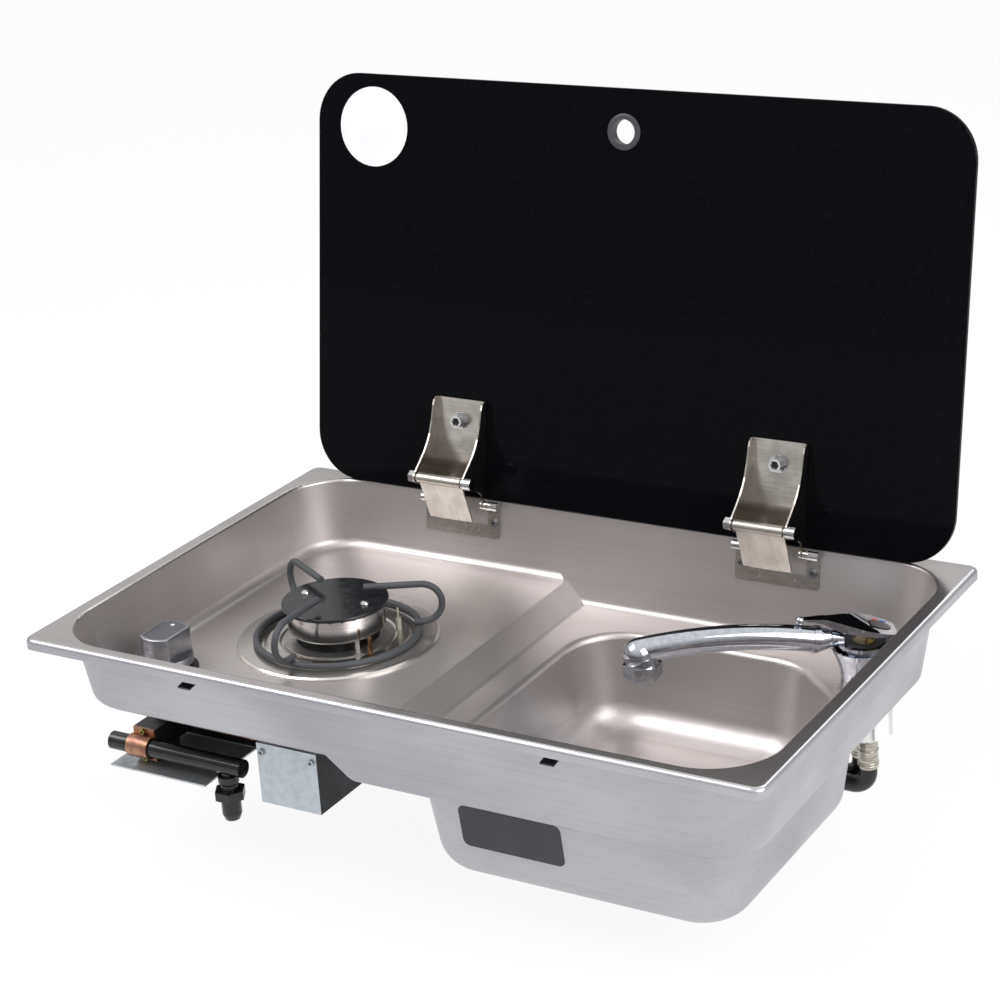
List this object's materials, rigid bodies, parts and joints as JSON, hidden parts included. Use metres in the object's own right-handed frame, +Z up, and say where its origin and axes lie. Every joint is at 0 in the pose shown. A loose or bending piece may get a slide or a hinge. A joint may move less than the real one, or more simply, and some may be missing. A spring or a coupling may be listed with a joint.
{
  "type": "sink and hob unit",
  "caption": "Drop-in steel sink with sunk bowl, folding mixer tap, single burner hob and a hinged black glass lid.",
  "frame": {"origin": "centre of the rim on the worktop plane, the face that the rim seal rests on", "axes": "+Z up, +X towards the bowl and tap side, +Y towards the lid hinges"},
  "size_m": [0.68, 0.4846, 0.5932],
  "materials": {
    "steel": "satin",
    "polished_steel": "polished",
    "satin_chrome": "satin",
    "chrome": "mirror",
    "zinc": "dull",
    "light_sheet": "satin",
    "aluminium": "cast",
    "black_steel": "satin",
    "black_glass": "polished",
    "rubber": "matte",
    "black_plastic": "matte",
    "dark_inset": "matte",
    "grey_disc": "matte",
    "white_plastic": "matte",
    "marks": "gloss",
    "brass": "turned",
    "copper_band": "plated",
    "ceramic": "gloss"
  },
  "bodies": {
    "sink": {"sink_pan": "steel", "rim_seal": "rubber", "worktop_clips": "black_steel", "bowl_plate": "black_plastic", "hinge_bases": "polished_steel", "pivot_pins": "polished_steel", "hinge_screws": "polished_steel", "hinge_wall_nuts": "zinc", "burner_dish": "steel", "burner_ring": "chrome", "burner_body": "aluminium", "burner_head": "aluminium", "burner_cap": "black_steel", "pan_support": "black_steel", "cap_screws": "chrome", "spark_electrode": "ceramic", "thermocouple": "brass", "jet_holder": "zinc", "knob_seal": "black_plastic", "gas_valve": "black_steel", "gas_rail": "black_steel", "gas_inlet": "black_steel", "rail_strap": "copper_band", "strap_screws": "zinc", "gas_shelf": "light_sheet", "spark_box": "zinc", "spark_box_screws": "zinc", "feed_pipe": "copper_band", "drain_body": "steel", "drain_strainer": "steel", "drain_gasket": "rubber", "drain_nut": "white_plastic", "tap_base": "chrome", "tap_cartridge": "white_plastic", "tap_nut": "white_plastic", "hose_tails": "zinc", "hoses": "rubber"},
    "lid": {"glass_lid": "black_glass", "finger_grommet": "rubber", "lid_disc": "grey_disc", "lid_brackets": "polished_steel", "bracket_pads": "rubber", "hinge_rods": "polished_steel", "hinge_rod_nuts": "zinc", "lid_bolts": "polished_steel", "lid_bolt_nuts": "polished_steel", "lid_bolt_caps": "chrome"},
    "left_stay": {"left_stay_plate": "polished_steel"},
    "right_stay": {"right_stay_plate": "polished_steel"},
    "spout_arm": {"spout": "chrome", "spout_collar": "chrome", "aerator": "chrome"},
    "lever_carrier": {"lever_stem": "brass"},
    "lever": {"tap_lever": "chrome", "lever_cap": "dark_inset", "heat_marks": "marks"},
    "push_spindle": {"push_sleeve": "brass"},
    "control_knob": {"knob": "satin_chrome", "knob_inset": "dark_inset", "valve_stem": "zinc"}
  },
  "joints": [
    {"name": "lid_hinge", "type": "hinge", "parent": "sink", "child": "lid", "pos_m": [0, 0.1965, 0.0045], "axis": [1, 0, 0], "range_deg": [0, 99]},
    {"name": "left_stay_pivot", "type": "hinge", "parent": "lid", "child": "left_stay", "pos_m": [0, 0.16453, 0.03754], "axis": [1, 0, 0], "range_deg": [0, 28.3]},
    {"name": "right_stay_pivot", "type": "hinge", "parent": "lid", "child": "right_stay", "pos_m": [0, 0.16453, 0.03754], "axis": [1, 0, 0], "range_deg": [0, 28.3]},
    {"name": "spout_swivel", "type": "hinge", "parent": "sink", "child": "spout_arm", "pos_m": [0.274, 0.122, -0.0227], "axis": [0, 0, 1], "range_deg": [-34, 50]},
    {"name": "lever_turn", "type": "hinge", "parent": "sink", "child": "lever_carrier", "pos_m": [0.274, 0.122, -0.024], "axis": [0, 0, 1], "range_deg": [-30, 30]},
    {"name": "lever_lift", "type": "hinge", "parent": "lever_carrier", "child": "lever", "pos_m": [0.27894, 0.12541, -0.0195], "axis": [-0.5678, 0.8231, 0], "range_deg": [0, 8]},
    {"name": "knob_push", "type": "slide", "parent": "sink", "child": "push_spindle", "axis": [0, 0, -1], "range_m": [0, 0.003], "stiffness_N_per_m": 600, "springref_m": -0.005},
    {"name": "knob_turn", "type": "hinge", "parent": "push_spindle", "child": "control_knob", "pos_m": [-0.2785, -0.108, -0.03], "axis": [0, 0, 1], "range_deg": [0, 180]}
  ],
  "couplings": [
    {"joint": "left_stay_pivot", "follows": "lid_hinge", "ratio": 0.285},
    {"joint": "right_stay_pivot", "follows": "lid_hinge", "ratio": 0.285}
  ]
}
